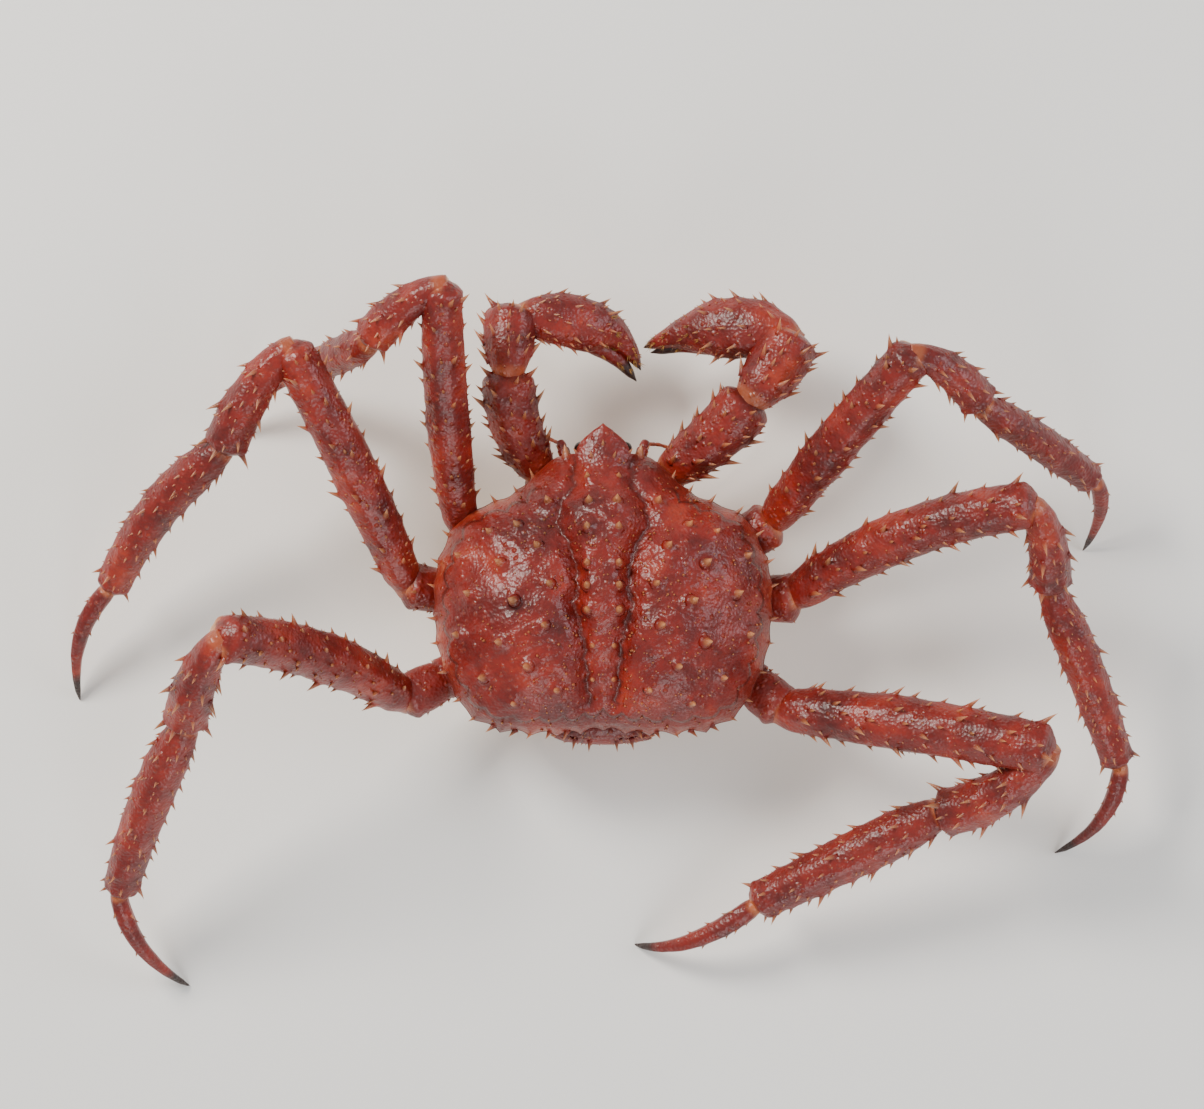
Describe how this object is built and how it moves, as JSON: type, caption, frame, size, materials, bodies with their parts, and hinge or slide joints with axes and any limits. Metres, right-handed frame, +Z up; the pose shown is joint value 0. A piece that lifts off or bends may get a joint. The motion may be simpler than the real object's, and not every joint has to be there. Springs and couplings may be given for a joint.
{
  "type": "red king crab",
  "caption": "Red king crab, still and life-size: spiny carapace over a folded abdomen, claws curled in before the face, walking legs arched and spread on their tips.",
  "frame": {"origin": "on the floor under the middle of the crab's whole reach, legs and claws included", "axes": "+Z up from the floor, +Y towards the head, +X to the crab's right"},
  "size_m": [0.6368, 0.4214, 0.1893],
  "materials": {
    "shell": "satin",
    "underside": "satin",
    "claw_tip": "satin",
    "cornea": "gloss",
    "feeler": "satin"
  },
  "bodies": {
    "root": {"carapace": "shell", "thorax": "underside", "abdomen": "underside", "left_leg1_ischium": "shell", "left_leg1_merus": "shell", "left_leg1_carpus": "shell", "left_leg1_propodus": "shell", "left_leg1_dactylus": "claw_tip", "left_leg2_ischium": "shell", "left_leg2_merus": "shell", "left_leg2_carpus": "shell", "left_leg2_propodus": "shell", "left_leg2_dactylus": "claw_tip", "left_leg3_ischium": "shell", "left_leg3_merus": "shell", "left_leg3_carpus": "shell", "left_leg3_propodus": "shell", "left_leg3_dactylus": "claw_tip", "right_leg1_ischium": "shell", "right_leg1_merus": "shell", "right_leg1_carpus": "shell", "right_leg1_propodus": "shell", "right_leg1_dactylus": "claw_tip", "right_leg2_ischium": "shell", "right_leg2_merus": "shell", "right_leg2_carpus": "shell", "right_leg2_propodus": "shell", "right_leg2_dactylus": "claw_tip", "right_leg3_ischium": "shell", "right_leg3_merus": "shell", "right_leg3_carpus": "shell", "right_leg3_propodus": "shell", "right_leg3_dactylus": "claw_tip", "left_claw_ischium": "shell", "left_claw_merus": "shell", "left_claw_carpus": "shell", "left_claw_palm": "shell", "left_claw_finger": "claw_tip", "left_eye": "cornea", "left_eyestalk": "shell", "left_antenna": "shell", "left_flagellum": "feeler", "left_antennule": "feeler", "left_maxilliped": "underside", "right_claw_ischium": "shell", "right_claw_merus": "shell", "right_claw_carpus": "shell", "right_claw_palm": "shell", "right_claw_finger": "claw_tip", "right_eye": "cornea", "right_eyestalk": "shell", "right_antenna": "shell", "right_flagellum": "feeler", "right_antennule": "feeler", "right_maxilliped": "underside"}
  },
  "joints": []
}
